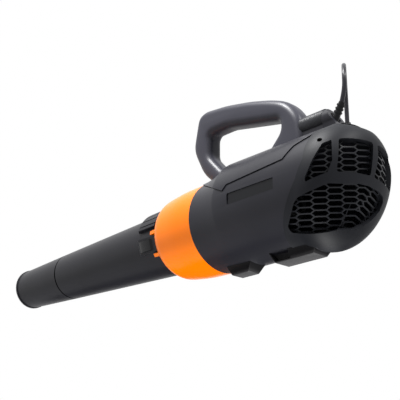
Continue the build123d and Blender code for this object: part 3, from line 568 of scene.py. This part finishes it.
def cut(piece, tool, operation):
    """Cut a piece with a tool, or keep what lies in the tool, and take the tool away."""
    step = piece.modifiers.new("cut", "BOOLEAN")
    step.operation = operation
    step.object = tool
    pick(piece)
    bpy.ops.object.modifier_apply(modifier=step.name)
    bpy.data.objects.remove(tool)


cord_ring = moulding("rear_cover", "blower_body", charcoal)
cord_ring.name = "cord_ring"
bpy.ops.object.mode_set(mode="EDIT")
bpy.ops.mesh.select_all(action="SELECT")
bpy.ops.mesh.bisect(plane_co=(0, 0, axis_height + ring_foot), plane_no=(0, 0, 1), clear_inner=True)
bpy.ops.object.mode_set(mode="OBJECT")

cover = add_dome(-cover_proud)
cut(cover, add_slab([cover_outline], cutter_half_width, cutter_edge), "INTERSECT")
hollow = add_dome(cover_wall)
cut(hollow, add_slab([hollow_outline], cutter_half_width, cutter_edge), "INTERSECT")
cut(cover, hollow, "DIFFERENCE")
# Each window has its outline, the heading and corner radius of its punch, and the hands that it is cut on.
windows = (
    (inner_window, (0.85, -0.5, 0.1), 0.004, (1, -1)),
    (outer_window, (0.6, -0.8, 0.0), 0.0012, (1, -1)),
    (lower_side, (0.5, -0.7, -0.5), 0.003, (1,)),
    (lower_middle, (0.8, 0, -0.6), 0.001, (1,)),
)
for corners, (to_rear, to_side, to_top), corner_round, hands in windows:
    for hand in hands:
        outline = [(station, hand * side, height) for station, side, height in corners]
        cut(cover, add_punch(outline, (to_rear, hand * to_side, to_top), corner_round), "DIFFERENCE")
for hand in (-1, 1):
    sunk = Vector((0.62, 0.72 * hand, 0.05))
    seat = Vector((body_front + 0.2617, 0.0699 * hand, axis_height + 0.049))
    bpy.ops.mesh.primitive_cylinder_add(
        radius=screw_hole_radius, depth=screw_hole_depth, location=seat,
        rotation=sunk.to_track_quat("Z", "Y").to_euler(),
    )
    cut(cover, bpy.context.object, "DIFFERENCE")
# Cover polypropylene is duller than the shells, so the frame holds few highlights, and it is painted blacker
# as painted shade, so that the frame's edge shows darker against the lit flank.
cover_painted_shade_black = grained("cover_polypropylene_painted_shade", "#17181C", "#1D1E22", 1.2, 0.52, 0.25)
cover_painted_shade_black.node_tree.nodes["Principled BSDF"].inputs["Specular IOR Level"].default_value = 0.12
finish_piece(cover, "rear_cover_frame", cover_painted_shade_black, "blower_body")
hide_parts("rear_cover")

# Intake screen: a honeycomb of thin ribs that keeps leaves out of the fan, moulded in one piece of black
# polypropylene and held behind the cover's windows. Its cells are wide hexagons, laid on the dome.
cell_across = 0.0205
cell_up = 0.0085
cell_slant = 0.005
column_pairs = 5
cells_high = 22
rib = 0.0009
rib_depth = 0.0026
screen_inset = 0.0062
grid_stand_off = 0.1
grid_near = -0.005
grid_far = -0.165
cell_tip = (cell_across + cell_slant) / 2
cell_shoulder = (cell_across - cell_slant) / 2
cell = [
    (cell_tip, 0), (cell_shoulder, cell_up / 2), (-cell_shoulder, cell_up / 2),
    (-cell_tip, 0), (-cell_shoulder, -cell_up / 2), (cell_shoulder, -cell_up / 2),
]
bpy.ops.object.select_all(action="DESELECT")
bpy.ops.mesh.primitive_circle_add(vertices=len(cell), fill_type="NGON")
screen = bpy.context.object
for vertex, (over, up) in zip(screen.data.vertices, cell):
    vertex.co = (over, up, 0)
bpy.ops.object.mode_set(mode="EDIT")
bpy.ops.mesh.select_all(action="SELECT")
bpy.ops.mesh.duplicate_move(TRANSFORM_OT_translate={"value": (cell_across, cell_up / 2, 0)})
bpy.ops.object.mode_set(mode="OBJECT")
for count, step in ((column_pairs, (2 * cell_across, 0, 0)), (cells_high, (0, cell_up, 0))):
    row = screen.modifiers.new("row", "ARRAY")
    row.count = count
    row.use_relative_offset = False
    row.use_constant_offset = True
    row.constant_offset_displace = step
    bpy.ops.object.modifier_apply(modifier=row.name)
bpy.ops.object.mode_set(mode="EDIT")
bpy.ops.mesh.select_all(action="SELECT")
bpy.ops.mesh.remove_doubles(threshold=0.0001)
bpy.ops.mesh.select_all(action="SELECT")
bpy.ops.mesh.inset(thickness=rib, use_individual=True)
bpy.ops.mesh.delete(type="FACE")
bpy.ops.mesh.select_all(action="SELECT")
bpy.ops.mesh.subdivide(number_cuts=1)
bpy.ops.object.mode_set(mode="OBJECT")

# The flat grid stands off the left rear of the dome, and its ribs are laid on the dome's lining from there.
facing = Vector((0.62, -0.72, -0.30)).normalized()
level = Vector((0, 0, 1)).cross(facing).normalized()
turn = Matrix((level, facing.cross(level), facing)).transposed().to_4x4()
grid_middle = Vector((body_front + 0.255, -0.05, axis_height - 0.006)) + facing * grid_stand_off
centring = Matrix.Translation(((0.5 - column_pairs) * cell_across, -cells_high / 2 * cell_up, 0))
screen.matrix_world = Matrix.Translation(grid_middle) @ turn @ centring
lining = add_dome(screen_inset)
pick(screen)
lay = screen.modifiers.new("lay", "SHRINKWRAP")
lay.target = lining
lay.wrap_method = "PROJECT"
lay.use_project_z = True
lay.use_negative_direction = True
lay.use_positive_direction = False
bpy.ops.object.modifier_apply(modifier=lay.name)
bpy.data.objects.remove(lining)
bpy.ops.object.mode_set(mode="EDIT")
bpy.ops.mesh.select_mode(type="VERT")
bpy.ops.mesh.select_all(action="DESELECT")
bpy.ops.object.mode_set(mode="OBJECT")
for vertex in screen.data.vertices:
    vertex.select = vertex.co.z > grid_near or vertex.co.z < grid_far
bpy.ops.object.mode_set(mode="EDIT")
bpy.ops.mesh.delete(type="VERT")
bpy.ops.object.mode_set(mode="OBJECT")
bpy.ops.object.transform_apply(location=True, rotation=True, scale=True)

# The left half is trimmed at the middle and under the cover's flat top, mirrored, and given its depth.
top_flat = (body_front + 0.2404, 0, axis_height + 0.081)
bpy.ops.object.mode_set(mode="EDIT")
bpy.ops.mesh.select_all(action="SELECT")
bpy.ops.mesh.bisect(plane_co=(0, 0, 0), plane_no=(0, 1, 0), clear_outer=True)
bpy.ops.mesh.select_all(action="SELECT")
bpy.ops.mesh.bisect(plane_co=top_flat, plane_no=(0.288, 0, 0.958), clear_outer=True)
bpy.ops.object.mode_set(mode="OBJECT")
pair = screen.modifiers.new("pair", "MIRROR")
pair.use_axis = (False, True, False)
bpy.ops.object.modifier_apply(modifier=pair.name)
depth = screen.modifiers.new("depth", "SOLIDIFY")
depth.thickness = rib_depth
depth.offset = 0
bpy.ops.object.modifier_apply(modifier=depth.name)
# Screen polypropylene has hardly any grain, so light catches the edges of its ribs.
screen_black = grained("black_screen_polypropylene", "#1D1E22", "#25262A", 1.2, 0.34, 0.1)
finish_piece(screen, "intake_screen_honeycomb", screen_black, "blower_body")
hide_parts("intake_screen")

# Duct ring: one injection moulding of orange ABS round the fan, from a polished mould, held in the mouth of
# the shells. It is the one bright, glossy piece, with clear reflections of the lamps.
orange = grained("gloss_orange_abs", "#F07400", "#F47B00", 2.0, 0.24, 0.02)
surface = orange.node_tree.nodes["Principled BSDF"]
surface.inputs["Coat Weight"].default_value = 0.08
surface.inputs["Coat Roughness"].default_value = 0.12
moulding("fan_duct", "blower_body", orange, 25)

# Blower tube and nozzle: two blow-moulded pieces of black polyethylene, pushed one over the other. They are
# a soft satin black, a little duller than the body, with a dark line where the nozzle's edge meets the tube.
nozzle_joint = round(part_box("blower_tube")[0][0], 6)
joint_reach = 0.0016
tube_black = grained("black_tube_polyethylene", "#16161A", "#1C1C21", 1.2, 0.38, 0.2)
tree = tube_black.node_tree
surface = tree.nodes["Principled BSDF"]
place = add_node(tree, "ShaderNodeTexCoord")
sides = add_node(tree, "ShaderNodeSeparateXYZ", {0: place.outputs["Object"]})
offset = add_node(tree, "ShaderNodeMath", {0: sides.outputs["X"], 1: nozzle_joint}, operation="SUBTRACT")
offset = add_node(tree, "ShaderNodeMath", {0: offset.outputs[0]}, operation="ABSOLUTE")
line = add_node(tree, "ShaderNodeMath", {0: offset.outputs[0], 1: joint_reach}, operation="LESS_THAN")
gleam = add_node(tree, "ShaderNodeMapRange", {"Value": line.outputs[0], "To Min": 0.2, "To Max": 0.0})
plain_tone = surface.inputs["Base Color"].links[0].from_socket
tone = add_node(
    tree, "ShaderNodeMix", {0: line.outputs[0], 6: plain_tone, 7: linear("#020202")}, data_type="RGBA"
)
tree.links.new(gleam.outputs[0], surface.inputs["Specular IOR Level"])
tree.links.new(tone.outputs[2], surface.inputs["Base Color"])
moulding("blower_tube", "tube", tube_black)
moulding("nozzle_tip", "nozzle", tube_black)

# Tube latches and thumb wheel: small mouldings of black acetal. The latches are sprung into the tube's
# sides, and the wheel turns on a pin in the grip. Acetal is a deep, smooth black with a small sharp gleam.
button_black = grained("black_button_acetal", "#0B0B0D", "#101113", 1.0, 0.26, 0.05)
moulding("latch_left", "latch_left_button", button_black)
moulding("latch_right", "latch_right_button", button_black)
moulding("speed_dial", "dial", button_black)

# Cord entry: a ringed barrel behind the handle and a bend guard, both of moulded black rubber, and the plug,
# which is moulded on the lead's far end. Rubber is a soft black, and fine rings show on the barrel.
barrel_station = 0.201
barrel_height = 0.1155
barrel_radius = 0.0164
barrel_length = 0.046
barrel_edge = 0.0018
ring_spacing_mm = 2.4166
ring_relief = 0.0006
rubber = grained("black_soft_rubber", "#0C0C0E", "#121214", 1.0, 0.42, 0.1)
ringed = grained("black_ringed_rubber", "#1E1F23", "#26272B", 1.0, 0.4, 0.1)
tree = ringed.node_tree
place = add_node(tree, "ShaderNodeTexCoord")
# The wave repeats every pi / 10 of a unit at a scale of one, and the unit is a metre.
rings = add_node(
    tree, "ShaderNodeTexWave", {"Vector": place.outputs["Object"], "Scale": 100 * pi / ring_spacing_mm}
)
relief = add_node(
    tree, "ShaderNodeBump", {"Height": rings.outputs["Fac"], "Strength": 0.5, "Distance": ring_relief}
)
tree.links.new(relief.outputs[0], tree.nodes["Principled BSDF"].inputs["Normal"])
bpy.ops.object.select_all(action="DESELECT")
bpy.ops.mesh.primitive_cylinder_add(
    vertices=72, radius=barrel_radius, depth=barrel_length,
    location=(body_front + barrel_station, 0, axis_height + barrel_height), rotation=(0, radians(90), 0),
)
barrel = bpy.context.object
bpy.ops.object.transform_apply(location=True, rotation=True, scale=True)
round_edges(barrel, barrel_edge, 3, 40)
finish_piece(barrel, "ringed_barrel", ringed, "blower_body")
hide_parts("cord_barrel")
moulding("cord_guard", "blower_body", rubber, 40)
plug = moulding("cord_plug", "blower_body", rubber)

# Lead: a short, stiff cord with a sheath of extruded black PVC, which leaves the bend guard, bows over and
# hangs down to its plug. The sheath is smooth, so a thin highlight runs along it.
loop_points = [
    (0.24791, 0, 0.12973), (0.2565, 0, 0.151), (0.257, 0, 0.18364), (0.241236, 0.021115, 0.21),
    (0.218944, 0.050975, 0.21), (0.20318, 0.07209, 0.18364), (0.20318, 0.07209, 0.13864),
]
lead = bpy.data.curves.new("cord_lead", "CURVE")
lead.dimensions = "3D"
spline = lead.splines.new("NURBS")
spline.points.add(len(loop_points) - 1)
for point, (x, y, z) in zip(spline.points, loop_points):
    point.co = (body_front + x, y, axis_height + z, 1)
spline.order_u = 3
spline.use_endpoint_u = True
spline.resolution_u = 24
lead.bevel_depth = 0.0035
lead.bevel_resolution = 6
lead.use_fill_caps = True
cord = bpy.data.objects.new("cord_lead", lead)
scene.collection.objects.link(cord)
pvc = grained("black_cord_pvc", "#232327", "#2B2B30", 1.0, 0.3, 0.05)
lead.materials.append(pvc)
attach(cord, "blower_body")
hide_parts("cord")

# Motor, fan, electrics and fasteners: the CAD pieces themselves, as they come from their makers. Metals
# gleam in their own colour, nylon and rubber stay dark, and the carbon and the laminations are dull.
metals = ("turned_bearing_steel", "enamelled_copper_wire", "stacked_lamination_steel", "drawn_brass")
inner_finishes = {
    "turned_bearing_steel": ("#9A9A9C", "#B4B4B6", 0.8, 0.28, 0.05, (
        "handle_screws", "cover_screws", "dial_pin", "fan_nut", "shaft", "front_bearing", "rear_bearing",
        "brush_springs",
    )),
    "enamelled_copper_wire": ("#9A4B22", "#B8622E", 0.9, 0.34, 0.4, (
        "field_coils", "armature_winding", "commutator",
    )),
    "stacked_lamination_steel": ("#4A4A4C", "#5C5C5E", 0.6, 0.45, 0.3, ("field_core", "armature_core")),
    "drawn_brass": ("#B08A3C", "#C49C48", 0.8, 0.3, 0.05, ("brush_holders", "plug_blades")),
    "black_fan_nylon": ("#0E0F10", "#151618", 1.2, 0.42, 0.15, (
        "guide_vanes", "outlet_cone", "fan", "motor_pod", "tail_cone", "front_bracket", "rear_bracket",
    )),
    "pressed_carbon": ("#141415", "#1C1C1E", 0.6, 0.6, 0.3, ("brushes",)),
    "grey_potting_resin": ("#3A3D42", "#44474C", 1.5, 0.5, 0.2, ("speed_module", "suppressor")),
    "black_seal_rubber": ("#0E0E10", "#131315", 1.0, 0.6, 0.2, ("tube_seal",)),
}
for name, (dark, light, grain_mm, roughness, bump, pieces) in inner_finishes.items():
    finish = grained(name, dark, light, grain_mm, roughness, bump)
    if name in metals:
        finish.node_tree.nodes["Principled BSDF"].inputs["Metallic"].default_value = 1.0
    for piece in pieces:
        frame["nodes"][piece].data.materials.clear()
        frame["nodes"][piece].data.materials.append(finish)
